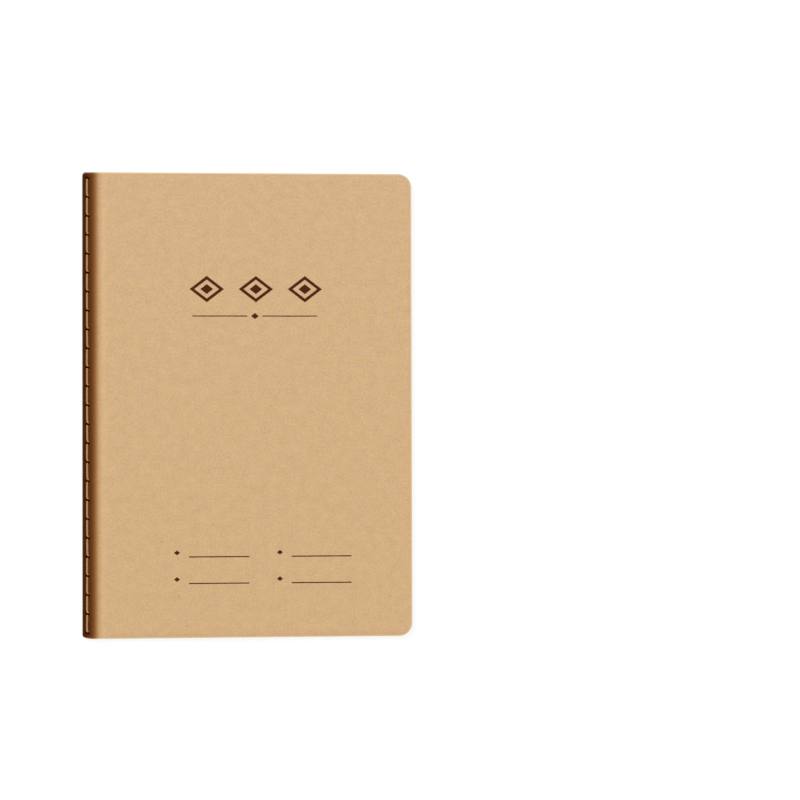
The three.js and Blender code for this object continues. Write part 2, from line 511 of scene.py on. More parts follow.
def trimmed_inside(g, across, along):
    """How far a place on the cover lies inside its trimmed edge, in millimetres."""
    corner = FORE_CORNER / MM
    reach = (FOLD_U_AT_CREASE + FORE_X - CREASE_X) / MM
    gone = [abs(across) - (reach - corner), abs(along) - (HALF_HEIGHT / MM - corner)]
    round_part = g.length(g.vector(*(g.larger(value, 0.0) for value in gone)))
    flat_part = g.maths("MINIMUM", g.larger(*gone), 0.0)
    return corner - (round_part + flat_part)


def kraft_colour(g, cover, face_colour, place):
    """A face colour with the card's mottle, fibres and specks, and the height of its surface."""
    in_fibres = g.scaled(place, MM / cover.fibre_size)
    pulp = g.group("Pulp", build_pulp, {"Place": in_fibres, "Cloud": 0.24, "Grain": 0.48})
    specks = g.group("Specks", build_specks, {"Place": g.scaled(place, 0.11), "Size": 0.075})
    colour = g.shaded(face_colour, pulp["Shade"] + 1.0)
    pinkish, greenish = opaque((0.998, 0.99, 1.07)), opaque((1.002, 1.006, 0.925))
    colour = g.mixed(1.0, colour, g.mixed(pulp["Hue"], pinkish, greenish), "MULTIPLY")
    for mask, share, shade in (
        (pulp["Dark Fibres"], 0.5, 0.72),
        (pulp["Light Fibres"], 0.35, 1.24),
        (specks["Specks"], 0.6, 0.62),
    ):
        colour = g.mixed(mask * share, colour, g.shaded(colour, shade))
    return colour, pulp["Height"]


def kraft_outside(g, cover):
    """The cover's outer face, with painted shade along the spine, painted shadow round the holes, painted
    light towards the head and a rim lighter by wear and painted highlight along its trimmed edge.
    """
    place = g.sheet_place()
    across, along, _ = g.parts(place)
    towards_head = g.smooth(along, -HALF_HEIGHT / MM, HALF_HEIGHT / MM)
    # Painted light: the face a little lighter and bluer towards the head, darker and warmer towards the tail.
    head_painted_light = g.mixed(towards_head, opaque((0.99, 0.985, 0.965)), opaque((1.014, 1.018, 1.035)))
    # The spine's dark band is painted shade, laid over the face colour.
    spine_shaded = g.mixed(1.0, painted_spine_shade(g, across, cover), head_painted_light, "MULTIPLY")
    colour, height = kraft_colour(g, cover, spine_shaded, place)
    # Painted shadow round each needle hole.
    colour = g.mixed(hole_painted_shadow(g, across, along) * 0.9, colour, rgba("1E0702"))
    ragged = g.times_plus(g.noise(place, 1.1, 3.0, 0.6), 0.5, -0.25)
    from_edge = trimmed_inside(g, across, along) + ragged
    # A faint painted shade band from about 0.8 to 2 mm inside the trimmed edge.
    edge_painted_shade = g.smooth(from_edge, 0.75, 1.1) * g.smooth(from_edge, 2.0, 1.2)
    colour = g.mixed(edge_painted_shade * 0.06, colour, rgba("8A5F33"))
    # A lighter rim along the trimmed edge, part wear and part painted highlight; next to the spine it is
    # darker, under the painted spine shade.
    rim_wear_and_highlight = g.mixed(g.smooth(abs(across), 6.0, 11.5), rgba("94683C"), opaque(cover.cut_edge))
    return g.mixed(g.smooth(from_edge, 1.05, 0.35) * 0.75, colour, rim_wear_and_highlight), height


def kraft_inside(g, cover):
    """The card's plain inner face."""
    return kraft_colour(g, cover, opaque(cover.kraft), g.shifted(g.sheet_place(), (311.0, 97.0, 0.0)))


def kraft_edge(g, cover):
    """Cut card: pale, in thin layers with torn fibres, and darker near the spine, where the face's painted
    shade carries on.
    """
    across, along, _ = g.parts(g.sheet_place())
    place = g.vector(across, along, g.attribute("depth") * (CARD / MM))
    layers = g.noise(g.shifted(place, scale=(0.5, 0.5, 12.0)), 1.0, 3.0, 0.6)
    tufts = g.noise(place, 3.2, 3.0, 0.6)
    colour = g.mixed(g.smooth(abs(across), 4.0, 11.0), rgba("9A7046"), opaque(cover.cut_edge))
    return g.shaded(colour, layers * 0.3 + tufts * 0.16 + 0.77), layers + tufts


def hole_wall(g, cover):
    """The torn wall of a needle hole, painted near-black as shade."""
    torn = g.noise(g.object_place(), 5.0, 3.0, 0.6)
    return g.mixed(torn, rgba("1A0500"), rgba("381003")), torn


def ruling(g, leaves, across, down):
    """The page's printed lines: all of them, and the third of each group again.
    across runs from the crease and down from the head, both in millimetres."""
    page_width = (LEAF_FORE_X - CREASE_X) / MM
    spacing = leaves.rule_spacing / MM

    def within(value, low, high):
        return g.maths("GREATER_THAN", value, low) * g.maths("LESS_THAN", value, high)

    def line(offset, width):
        """A soft-edged line where the offset from its middle is small."""
        return g.smooth(abs(offset) - width / MM / 2, 0.05, -0.05)

    in_group = g.maths("FLOORED_MODULO", down - FIRST_LINE_DOWN + spacing / 2, leaves.group_pitch / MM)
    offset = g.maths("FLOORED_MODULO", in_group, spacing) - spacing / 2
    on_page = within(across, RULE_START, page_width - RULE_MARGIN)
    on_page = on_page * within(down, FIRST_LINE_DOWN - 1, LAST_LINE_DOWN)
    four = line(offset, leaves.rule_width) * within(in_group, 0.0, spacing * 4) * on_page
    third = line(offset, leaves.base_rule_width) * within(in_group, spacing * 2, spacing * 3) * on_page
    header_end = page_width - HEADER_MARGIN
    header = g.larger(*(line(down - place, leaves.rule_width) for place in HEADER_LINES_DOWN))
    header = header * within(across, header_end - HEADER_LENGTH, header_end)
    return g.larger(four, header), third


def ruled_leaf(g, leaves):
    """A leaf's face: ivory paper with groups of four writing lines, the third one red-brown."""
    place = g.sheet_place()
    across, along, _ = g.parts(place)
    pulp = g.group("Pulp", build_pulp, {"Place": g.scaled(place, 0.6), "Cloud": 0.02, "Grain": 0.03})
    colour = g.shaded(opaque(leaves.paper), pulp["Shade"] + 1.0)
    uneven = g.times_plus(g.noise(place, 1.2, 2.0), 0.5, 0.62, clamp=True)
    rules = ruling(g, leaves, across, LEAF_HALF_HEIGHT / MM - along)
    for lines, ink in zip(rules, (leaves.rule_grey, leaves.rule_red)):
        colour = g.mixed(lines * uneven, colour, opaque(ink))
    seam_side = (PINCH_END_X - CREASE_X) / MM
    # Painted shade: near the needle holes the leaf, seen only down the holes, is coloured near-black.
    seam_painted_shade = g.smooth(across, seam_side + 1.5, seam_side + 0.3)
    return g.mixed(seam_painted_shade, colour, rgba("260B02")), pulp["Height"]


def leaf_edge(g, leaves):
    """The cut edges of the leaves: each leaf a little lighter or darker than the next, with cutting marks."""
    place = g.sheet_place()
    cuts = g.noise(place, 1.4, 3.0, 0.6)
    shade = g.times_plus(g.attribute("tint"), 0.24, 0.8)
    for pattern in (cuts, g.noise(place, 0.06, 2.0)):
        shade = g.times_plus(pattern - 0.5, 0.1, shade)
    return g.shaded(opaque(leaves.cut_edge), shade), cuts


def twisted_cotton(g, seam):
    """Matt cotton of uneven tone with stray pale hairs, painted near-black as shade where it dives into a
    hole.
    """
    place = g.object_place()
    from_middle = abs(g.parts(place)[2] - MIDDLE_Z / MM)
    # Painted shade: the thread turns near-black where it lies inside the card, down a hole.
    outside_hole_shade = g.smooth(from_middle, SEAM_HALF / MM - 0.4, SEAM_HALF / MM - 0.05)
    hairs = g.noise(g.shifted(place, scale=(9.0, 2.4, 9.0)), 1.0, 3.0, 0.6)
    shade = g.times_plus(g.noise(place, 0.35, 2.0), 0.3, g.times_plus(hairs, 0.5, 0.6))
    return g.mixed(outside_hole_shade, rgba("280A02"), g.shaded(opaque(seam.cotton), shade)), hairs


def printing_ink(g, printing):
    """Dark brown ink, thinner where the card's grain shows through."""
    place = g.object_place()
    worn = g.smooth(g.noise(place, 2.4, 4.0, 0.65), 0.5, 0.78)
    return g.mixed(worn * 0.45, opaque(printing.ink), rgba("8A5A34")), g.noise(place, 3.5, 3.0)


# Each recipe's roughness, shine, depth of bump in millimetres and strength of bump
FINISHES = {
    kraft_outside: (0.86, 0.06, 0.05, 0.5),
    kraft_inside: (0.88, 0.06, 0.05, 0.5),
    kraft_edge: (0.9, 0.05, 0.05, 0.6),
    hole_wall: (0.95, 0.0, 0.05, 0.6),
    ruled_leaf: (0.9, 0.06, 0.02, 0.4),
    leaf_edge: (0.92, 0.05, 0.03, 0.4),
    twisted_cotton: (0.85, 0.05, 0.04, 0.6),
    printing_ink: (0.7, 0.06, 0.02, 0.5),
}


def finish(recipe, settings):
    """The material that a recipe and its settings make."""
    roughness, shine, depth, strength = FINISHES[recipe]
    made = bpy.data.materials.new(recipe.__name__)
    made.use_nodes = True
    g = Graph(made.node_tree)
    colour, height = recipe(g, settings)
    bump = {"Height": height, "Distance": depth * MM, "Strength": strength}
    values = {
        "Base Color": colour,
        "Roughness": roughness,
        "Specular IOR Level": shine,
        "Normal": g.put("ShaderNodeBump", bump),
    }
    shader = made.node_tree.nodes["Principled BSDF"]
    for label, value in values.items():
        g.feed(shader.inputs[label], value)
    return made


def looking_ray(g):
    """1 for rays from the camera, from mirrors and through glass."""
    path = g.outputs("ShaderNodeLightPath")
    return g.larger(g.larger(path["Is Camera Ray"], path["Is Glossy Ray"]), path["Is Transmission Ray"])


def pale_floor(stage):
    """White to the eye and to mirrors, with some of the object's shadow, and a plain matt floor to light."""
    made = bpy.data.materials.new("pale_floor")
    g = emptied(made)
    matt = g.put("ShaderNodeBsdfDiffuse", {"Color": grey(stage.shadow)})
    glow = g.put("ShaderNodeEmission", {"Color": grey(1.0), "Strength": FLOOR_GLOW - stage.shadow})
    bounce = g.put("ShaderNodeBsdfDiffuse", {"Color": grey(FLOOR_BOUNCE)})
    seen = g.put("ShaderNodeAddShader", {0: glow, 1: matt})
    either = g.put("ShaderNodeMixShader", {0: looking_ray(g), 1: bounce, 2: seen})
    g.node("ShaderNodeOutputMaterial", {"Surface": either})
    return made


# Meshes


def settle(x, z):
    """Height of a point of the closed book, whose upper layers rise a little towards the fore edge."""
    share = np.clip((x - CREASE_X) / (FORE_X - CREASE_X), 0, None)
    return z + FORE_LIFT * (z / BOOK_TOP) ** 2 * share**2


def corner_cut(into, wide, high):
    """How much a rounded corner takes off the height at a distance into it."""
    share = min(1.0, max(0.0, into) / wide)
    return high * (1 - math.sqrt(1 - share**2))


def half_height_at(x, half_height, fore_x, fore_corner):
    """Half the sheet's height at x, less in the rounded corners of its fore edge."""
    return half_height - corner_cut(x - (fore_x - fore_corner), fore_corner, fore_corner)


def spine_ends_at(x, half_height):
    """Tail and head of the spine's strip at x, rounded off: tightly at the head and gently at the tail."""
    head = half_height - corner_cut(SPINE_X + SPINE_CORNER - x, SPINE_CORNER, SPINE_CORNER)
    tail = half_height - corner_cut(SPINE_X + TAIL_CORNER_WIDE - x, TAIL_CORNER_WIDE, TAIL_CORNER_HIGH)
    return -tail, head


def spaced(start, end, step):
    """Even places from start to end, about a step apart, without the last."""
    count = max(1, round((end - start) / step))
    return [start + (end - start) * i / count for i in range(count)]


def corner_places(fore_x, radius, steps):
    """Places across a rounded corner, closer together towards the fore edge."""
    quarter = math.pi / 2
    return [fore_x - radius + radius * math.sin(quarter * i / steps) for i in range(steps + 1)]


def add_object(name, mesh):
    made = bpy.data.objects.new(name, mesh)
    bpy.context.scene.collection.objects.link(made)
    return made


def new_mesh(name, points, faces=(), edges=(), materials=()):
    mesh = bpy.data.meshes.new(name)
    mesh.from_pydata(points, edges, faces)
    for material in materials:
        mesh.materials.append(material)
    return mesh


def soften(mesh, angle=SMOOTH_ANGLE):
    mesh.polygons.foreach_set("use_smooth", [True] * len(mesh.polygons))
    mesh.set_sharp_from_angle(angle=angle)
    mesh.update()


def place_mesh(piece, offset, settled=False):
    """Moves a piece's mesh and leaves its object at the origin. A settled one then rises with the book."""
    mesh = piece.data
    points = np.zeros(len(mesh.vertices) * 3)
    mesh.vertices.foreach_get("co", points)
    points = points.reshape(-1, 3) + np.array(offset)
    if settled:
        points[:, 2] = settle(points[:, 0], points[:, 2])
    mesh.vertices.foreach_set("co", points.ravel())
    mesh.update()


def applied(piece):
    """Makes what the modifiers give the piece's own mesh, and removes them."""
    bpy.context.view_layer.update()
    graph = bpy.context.evaluated_depsgraph_get()
    shown = piece.evaluated_get(graph)
    old = piece.data
    piece.data = bpy.data.meshes.new_from_object(shown, preserve_all_data_layers=True, depsgraph=graph)
    piece.data.name = piece.name
    piece.modifiers.clear()
    bpy.data.meshes.remove(old)
    return piece


class Layers:
    """Collects closed thin sheets, each with an outer face, an inner face and a rim, for one mesh."""

    OUTER, INNER, RIM = range(3)

    def __init__(self):
        self.points = []
        self.places = []
        self.depths = []
        self.tints = []
        self.faces = []
        self.finishes = []

    def add(self, outer, inner, flat, edge_rings=0, edge_last_column=False, tint=1.0):
        """outer and inner are grids of points, and flat the grid of their places on the flat sheet.
        Faces within edge_rings of the head and tail get the rim's finish."""
        columns, rows = flat.shape[:2]
        base = len(self.points)
        below = columns * rows
        for grid, depth in ((outer, 0.0), (inner, 1.0)):
            self.points.extend(map(tuple, grid.reshape(-1, 3)))
            self.places.extend(map(tuple, flat.reshape(-1, 2)))
            self.depths.extend([depth] * below)
            self.tints.extend([tint] * below)

        def face(finish_index, *corners):
            self.faces.append([base + side * below + i * rows + j for i, j, side in corners])
            self.finishes.append(finish_index)

        last_i, last_j = columns - 1, rows - 1
        for i, j in itertools.product(range(last_i), range(last_j)):
            at_edge = j < edge_rings or j >= last_j - edge_rings
            at_edge = at_edge or (edge_last_column and i == last_i - 1)
            outside, inside = (self.RIM, self.RIM) if at_edge else (self.OUTER, self.INNER)
            face(outside, (i, j, 0), (i + 1, j, 0), (i + 1, j + 1, 0), (i, j + 1, 0))
            face(inside, (i, j, 1), (i, j + 1, 1), (i + 1, j + 1, 1), (i + 1, j, 1))
        for i in range(last_i):
            face(self.RIM, (i, 0, 0), (i, 0, 1), (i + 1, 0, 1), (i + 1, 0, 0))
            face(self.RIM, (i, last_j, 0), (i + 1, last_j, 0), (i + 1, last_j, 1), (i, last_j, 1))
        for j in range(last_j):
            face(self.RIM, (0, j, 0), (0, j + 1, 0), (0, j + 1, 1), (0, j, 1))
            face(self.RIM, (last_i, j, 0), (last_i, j, 1), (last_i, j + 1, 1), (last_i, j + 1, 0))

    def made(self, name, finishes):
        """The object, with the finishes of the outer faces, the inner faces and the rim."""
        distinct = list(dict.fromkeys(finishes))
        mesh = new_mesh(name, self.points, self.faces, materials=distinct)
        if finishes:
            slots = [distinct.index(finishes[index]) for index in self.finishes]
            mesh.polygons.foreach_set("material_index", slots)
        corners = np.zeros(len(mesh.loops), int)
        mesh.loops.foreach_get("vertex_index", corners)
        sheet_map = mesh.uv_layers.new(name=SHEET_MAP)
        sheet_map.data.foreach_set("uv", np.array(self.places)[corners].ravel())
        for label, values in (("depth", self.depths), ("tint", self.tints)):
            mesh.attributes.new(label, "FLOAT", "POINT").data.foreach_set("value", values)
        soften(mesh)
        return add_object(name, mesh)


def grids(xs, heights, levels, high_z, low_z, across, ease_in=0.0, ease_down=0.0):
    """Upper and lower grids of a flat sheet, with eased edges where asked for, and its flat places."""
    upper = np.zeros((len(xs), len(levels), 3))
    flat = np.zeros((len(xs), len(levels), 2))
    for i, (x, height) in enumerate(zip(xs, heights)):
        ys = np.array(levels) * (height - ease_in)
        ys[0] = -height
        ys[-1] = height
        upper[i, :, 0] = x
        upper[i, :, 1] = ys
        flat[i, :, 0] = across(x)
        flat[i, :, 1] = ys
    lower = upper.copy()
    for grid, z, ease in ((upper, high_z, -ease_down), (lower, low_z, ease_down)):
        grid[:, :, 2] = z
        grid[:, [0, -1], 2] = z + ease
        grid[-1, :, 2] = z + ease
        grid[:, :, 2] = settle(grid[:, :, 0], grid[:, :, 2])
    return upper, lower, flat


def flat_board(name, start_x, low_z, high_z, across, finishes, flip=False):
    """One of the cover's two boards. Its outer face is the lower one where flip is set."""
    bend_step, middle_step, corner_steps, level_count = 0.2 * MM, 4 * MM, 16, 61
    bend = spaced(start_x, start_x + COVER_BEND + HINGE_FLAP, bend_step)
    middle = spaced(bend[-1] + bend_step, FORE_X - FORE_CORNER, middle_step)
    xs = bend + middle + sorted([*corner_places(FORE_X, FORE_CORNER, corner_steps), FORE_X - CARD_EASE_IN])
    heights = [half_height_at(x, HALF_HEIGHT, FORE_X, FORE_CORNER) for x in xs]
    levels = [-1.0, *np.linspace(-1, 1, level_count), 1.0]
    upper, lower, flat = grids(xs, heights, levels, high_z, low_z, across, CARD_EASE_IN, CARD_EASE_DOWN)
    layers = Layers()
    if flip:
        layers.add(lower[:, ::-1], upper[:, ::-1], flat[:, ::-1], 1, True)
    else:
        layers.add(upper, lower, flat, 1, True)
    return layers.made(name, finishes)


def fold_section():
    """The cover's outer line from the crease on the back, round the spine, to just past the front crease.
    Each point has its place, the way out of the card there and its distance along the card from the fold."""
    flat_z = MIDDLE_Z
    steps, seam_step, flat_step, flap_step = 14, 0.18 * MM, 0.45 * MM, 0.12 * MM
    side = []
    for i in range(steps):
        angle = math.pi - (math.pi / 2) * i / steps
        side.append((NOSE_X + SEAM_HALF * math.cos(angle), SEAM_HALF * math.sin(angle)))
    side += [(x, SEAM_HALF) for x in spaced(NOSE_X, PINCH_END_X, seam_step)]
    ease_x = (PINCH_START_X + PINCH_END_X) / 2
    for i in range(steps):
        t = i / steps
        weights = ((1 - t) ** 3, 3 * t * (1 - t) ** 2, 3 * t * t * (1 - t), t**3)
        x = np.dot(weights, (PINCH_END_X, ease_x, ease_x, PINCH_START_X))
        z = np.dot(weights, (SEAM_HALF, SEAM_HALF, flat_z, flat_z))
        side.append((float(x), float(z)))
    side += [(x, flat_z) for x in spaced(PINCH_START_X, CREASE_X, flat_step)]
    front = side + [(x, flat_z) for x in spaced(CREASE_X, CREASE_X + HINGE_FLAP, flap_step)]
    front.append((CREASE_X + HINGE_FLAP, flat_z))
    back = side + [(CREASE_X, flat_z)]
    line = np.array([(x, -z) for x, z in back[:0:-1]] + front)
    along = np.concatenate([[0], np.cumsum(np.linalg.norm(np.diff(line, axis=0), axis=1))])
    along -= along[len(back) - 1]
    heading = np.gradient(line, axis=0)
    heading /= np.linalg.norm(heading, axis=1)[:, None]
    out = np.stack([-heading[:, 1], heading[:, 0]], axis=1)
    return line, out, along


FOLD_LINE, FOLD_OUT, FOLD_U = fold_section()


def fold_u_at(x):
    """Distance along the card from the fold to a place on the front, by its x."""
    front = FOLD_U >= 0
    return float(np.interp(x, FOLD_LINE[front, 0], FOLD_U[front]))


FOLD_U_AT_SEAM = fold_u_at(SEAM_X)
FOLD_U_AT_CREASE = fold_u_at(CREASE_X)


def front_across(x):
    return FOLD_U_AT_CREASE + x - CREASE_X


def back_across(x):
    return -front_across(x)


def leaf_across(x):
    return x - CREASE_X


def seam_rows():
    """Levels along the spine, close together round each needle hole."""
    near = (-1.3, -1.0, -0.75, -0.5, -0.25, 0.0, 0.25, 0.5, 0.75, 1.0, 1.3)
    between = 7
    rows = set()
    for inset in (0.0, CARD_EASE_IN, 1.1 * MM):
        rows.update((HALF_HEIGHT - inset, inset - HALF_HEIGHT))
    for hole in range(STITCHES + 1):
        y = FIRST_HOLE_Y - hole * STITCH_PITCH
        rows.update(y + step * MM for step in near)
        if hole < STITCHES:
            low, high = y - STITCH_PITCH + near[-1] * MM, y + near[0] * MM
            rows.update(low + (high - low) * i / between for i in range(1, between))
    return sorted(rows)


def pressed_in(across, y, cover):
    """How far the thread draws the card's outer face in, at a place on the flat sheet."""
    aside = abs(across) - FOLD_U_AT_SEAM
    down = np.mod(FIRST_HOLE_Y - y + STITCH_PITCH / 2, STITCH_PITCH) - STITCH_PITCH / 2
    within = np.abs(y) < FIRST_HOLE_Y + STITCH_PITCH / 2
    on_seam = np.abs(y) < FIRST_HOLE_Y
    trough_wide, funnel_wide, funnel_high = 0.6 * MM, 1.4 * HOLE_HALF_WIDE, 1.5 * HOLE_HALF_HIGH
    trough = cover.groove * math.exp(-((aside / trough_wide) ** 2)) * on_seam
    from_hole = aside - HOLE_ASIDE
    slanted = (down - math.tan(HOLE_SLANT) * from_hole) / funnel_high
    funnel = cover.dimple * np.exp(-((from_hole / funnel_wide) ** 2) - slanted**2) * within
    return np.maximum(trough, funnel)


def cover_wrap(cover, finishes):
    """The fold of the card round the spine, drawn in along the seam."""
    rows = np.array(seam_rows())
    outer = np.zeros((len(FOLD_LINE), len(rows), 3))
    inner = np.zeros_like(outer)
    flat = np.zeros((len(FOLD_LINE), len(rows), 2))
    steady = HALF_HEIGHT - 2.2 * MM
    for i, ((x, z), (out_x, out_z), along) in enumerate(zip(FOLD_LINE, FOLD_OUT, FOLD_U)):
        tail, head = spine_ends_at(x, HALF_HEIGHT)
        ys = np.interp(rows, (-HALF_HEIGHT, -steady, steady, HALF_HEIGHT), (tail, -steady, steady, head))
        ys[1] = tail + CARD_EASE_IN
        ys[-2] = head - CARD_EASE_IN
        depth = pressed_in(along, ys, cover)
        depth[[0, -1]] += CARD_EASE_DOWN
        reach = np.full(len(rows), CARD)
        reach[[0, -1]] -= CARD_EASE_DOWN
        for grid, deep in ((outer, depth), (inner, reach)):
            grid[i, :, 0] = x - out_x * deep
            grid[i, :, 1] = ys
            grid[i, :, 2] = settle(grid[i, :, 0], MIDDLE_Z + z - out_z * deep)
        flat[i, :, 0] = along
        flat[i, :, 1] = rows
    layers = Layers()
    layers.add(outer, inner, flat, 1)
    return layers.made("cover_wrap", finishes)


def hole_cutters(wall):
    """The needle holes as closed bodies: from each face, a slanted slit that narrows to the middle of the
    book, where the thread's two loops fill it."""
    sides = 20
    widest = (HOLE_HALF_WIDE, HOLE_HALF_HIGH, HOLE_ASIDE)
    narrowest = (HOLE_WAIST, HOLE_WAIST, 0.0)
    card_face = SEAM_HALF - CARD
    filled = 0.06 * MM
    front = ((filled, narrowest), (card_face, widest), (BOOK_TOP, widest))
    back = ((-BOOK_TOP, widest), (-card_face, widest), (-filled, narrowest))
    points, faces = [], []
    for hole, levels in itertools.product(range(STITCHES + 1), (front, back)):
        y = FIRST_HOLE_Y - hole * STITCH_PITCH
        base = len(points)
        for z, (half_wide, half_high, aside) in levels:
            for i in range(sides):
                turn = 2 * math.pi * i / sides
                wide, high = half_wide * math.cos(turn), half_high * math.sin(turn)
                points.append((SEAM_X + aside + wide, y + high - wide * math.tan(HOLE_SLANT), MIDDLE_Z + z))
        top = base + (len(levels) - 1) * sides
        faces.append(range(base + sides - 1, base - 1, -1))
        faces.append(range(top, top + sides))
        for lower in range(base, top, sides):
            for i in range(sides):
                after = (i + 1) % sides
                faces.append((lower + i, lower + after, lower + sides + after, lower + sides + i))
    return add_object("needle_holes", new_mesh("needle_holes", points, faces, materials=[wall]))


def pierced(piece, wall):
    """Cuts the needle holes out of a piece and makes the result its own mesh."""
    cutters = hole_cutters(wall)
    cut = piece.modifiers.new("holes", "BOOLEAN")
    cut.operation = "DIFFERENCE"
    cut.solver = "EXACT"
    cut.material_mode = "TRANSFER"
    cut.object = cutters
    applied(piece)
    bpy.data.objects.remove(cutters)
    return piece


def leaf_grids(low_z, high_z, trim_across, trim_along):
    """One leaf from the crease to its fore edge, cut a little short of its full size where asked for."""
    bend_step, middle_step, corner_steps, level_count = 0.3 * MM, 10 * MM, 10, 13
    fore_x = LEAF_FORE_X - trim_across
    half_height = LEAF_HALF_HEIGHT - trim_along
    radius = FORE_CORNER - trim_across
    xs = spaced(CREASE_X, CREASE_X + LEAF_BEND, bend_step)
    xs += spaced(CREASE_X + LEAF_BEND, LEAF_FORE_X - FORE_CORNER, middle_step)
    xs = [x for x in xs if x < fore_x - radius - 1e-6] + corner_places(fore_x, radius, corner_steps)
    heights = [half_height_at(x, half_height, fore_x, radius) for x in xs]
    return grids(xs, heights, np.linspace(-1, 1, level_count), high_z, low_z, leaf_across)


def margin_layers(chance, finishes):
    """The sewn margins of all the leaves, pinched together along the seam."""
    flat_half = MIDDLE_Z - CARD
    seam_half = SEAM_HALF - CARD
    inner_radius = seam_half - 0.01 * MM
    layers = Layers()
    for name in LEAF_NAMES:
        low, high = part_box(name)
        sections = []
        for z in (high.z, low.z):
            offset = z - MIDDLE_Z
            pinched = offset * seam_half / flat_half
            start = NOSE_X - math.sqrt(max(0.0, inner_radius**2 - min(abs(pinched), inner_radius) ** 2))
            sections.append((offset, pinched, start))
        start_x = max(section[2] for section in sections)
        xs = [start_x, *[x for x in (NOSE_X, PINCH_END_X) if x > start_x + 0.05 * MM]]
        xs += spaced(PINCH_END_X, PINCH_START_X, 0.35 * MM)[1:] + [PINCH_START_X, CREASE_X]
        outer = np.zeros((len(xs), 2, 3))
        inner = np.zeros_like(outer)
        flat = np.zeros((len(xs), 2, 2))
        for i, x in enumerate(xs):
            ends = spine_ends_at(x, LEAF_HALF_HEIGHT)
            ease = np.clip((x - PINCH_END_X) / (PINCH_START_X - PINCH_END_X), 0, 1)
            share = ease * ease * (3 - 2 * ease)
            for grid, (offset, pinched, _) in zip((outer, inner), sections):
                grid[i, :, 0] = x
                grid[i, :, 1] = ends
                grid[i, :, 2] = MIDDLE_Z + pinched + (offset - pinched) * share
            flat[i, :, 0] = leaf_across(x)
            flat[i, :, 1] = ends
        layers.add(outer, inner, flat, tint=chance.random())
    return layers.made("sewn_margins", finishes)


def stitch_line(name, drift, depth, side):
    """The middle line of one stitch: up out of a hole, along the card and down into the next.
    side is 1 on the front and -1 on the back."""
    lock, leg, bend = 0.18 * MM, 0.7 * MM, 0.36 * MM
    run = SEAM_HALF + 0.1 * MM
    hump = 0.025 * MM
    flare_length = 1.5 * MM
    arc_steps = 6
    near, far = leg + bend, STITCH_PITCH - leg - bend
    rise = []
    for i in range(arc_steps + 1):
        angle = (math.pi / 2) * i / arc_steps
        rise.append((near - bend * math.cos(angle), run - bend + bend * math.sin(angle)))
    places = [(lock, depth)] + rise
    for y in spaced(near, far, 0.8 * MM)[1:]:
        places.append((y, run + hump * math.sin(math.pi * (y - near) / (far - near))))
    places += [(STITCH_PITCH - y, z) for y, z in rise[::-1]] + [(STITCH_PITCH - lock, depth)]
    points = []
    for y, z in places:
        into_flare = max(0.0, y - (far + bend - flare_length)) / flare_length
        points.append((drift * min(1.0, into_flare) ** 2, -y, side * z))
    return add_object(name, new_mesh(name, points, edges=list(itertools.pairwise(range(len(points))))))


# Geometry node trees


def grown(piece, tree, values):
    """Runs a geometry tree on a piece with those named values, and keeps the result as its mesh."""
    modifier = piece.modifiers.new(tree.name, "NODES")
    modifier.node_group = tree
    for item in tree.interface.items_tree:
        if item.item_type == "SOCKET" and item.in_out == "INPUT" and item.name in values:
            modifier[item.identifier] = values[item.name]
    return applied(piece)


def stitch_tree():
    """Twists the strands along one stitch's middle line and repeats the stitch down the seam."""
    inputs = {
        "Geometry": "Geometry",
        "Count": "Int",
        **numbers("Pitch", "Strand Radius", "Thread Width", "Flatness", "Lay", "Wobble"),
        "Seed": "Int",
        "Material": "Material",
    }
    g, given = new_graph("GeometryNodeTree", "Stitches", inputs, {"Geometry": "Geometry"})
    curve = g.put("GeometryNodeMeshToCurve", {"Mesh": given["Geometry"]})
    line = g.put("GeometryNodeResampleCurve", {"Curve": curve, "Count": STITCH_POINTS})
    along = g.outputs("GeometryNodeSplineParameter")
    from_ends = g.smooth(abs(along["Factor"] - 0.5), 0.5, 0.36)
    squeezed = g.times_plus(from_ends, 1 - END_SQUEEZE, END_SQUEEZE)
    turn = along["Length"] / given["Lay"] * (2 * math.pi)
    off_middle = (given["Thread Width"] * 0.5 - given["Strand Radius"]) * squeezed
    heading = g.put("GeometryNodeInputTangent")
    upright = g.vector_maths("CROSS_PRODUCT", {0: (1.0, 0.0, 0.0), 1: heading})
    circle = {"Resolution": STRAND_SIDES, "Radius": given["Strand Radius"]}
    ring = g.put("GeometryNodeCurvePrimitiveCircle", circle)
    join = g.node("GeometryNodeJoinGeometry")
    for strand in range(STRANDS):
        angle = turn + 2 * math.pi * strand / STRANDS
        aside = g.vector(g.maths("COSINE", angle) * off_middle)
        up = g.scaled(upright, g.maths("SINE", angle) * off_middle * given["Flatness"])
        offset = g.vector_maths("ADD", {0: aside, 1: up})
        moved = g.put("GeometryNodeSetPosition", {"Geometry": line, "Offset": offset})
        sweep = {"Curve": moved, "Profile Curve": ring, "Scale": squeezed, "Fill Caps": True}
        g.feed(join.inputs[0], g.put("GeometryNodeCurveToMesh", sweep))
    step = g.vector(0.0, given["Pitch"] * -1.0)
    row = g.put("GeometryNodeMeshLine", {"Count": given["Count"], "Offset": step})
    ends = {"Min": g.vector(0.0, 0.0, given["Wobble"] * -1.0), "Max": g.vector(0.0, 0.0, given["Wobble"])}
    turns = g.put("FunctionNodeRandomValue", {**ends, "Seed": given["Seed"]}, data_type="FLOAT_VECTOR")
    copied = {"Points": row, "Instance": Signal(g, join.outputs[0]), "Rotation": turns}
    solid = g.put("GeometryNodeRealizeInstances", {0: g.put("GeometryNodeInstanceOnPoints", copied)})
    smooth = g.put("GeometryNodeSetShadeSmooth", {0: solid})
    dressed = g.put("GeometryNodeSetMaterial", {0: smooth, "Material": given["Material"]})
    g.node("NodeGroupOutput", {0: dressed})
    return g.tree


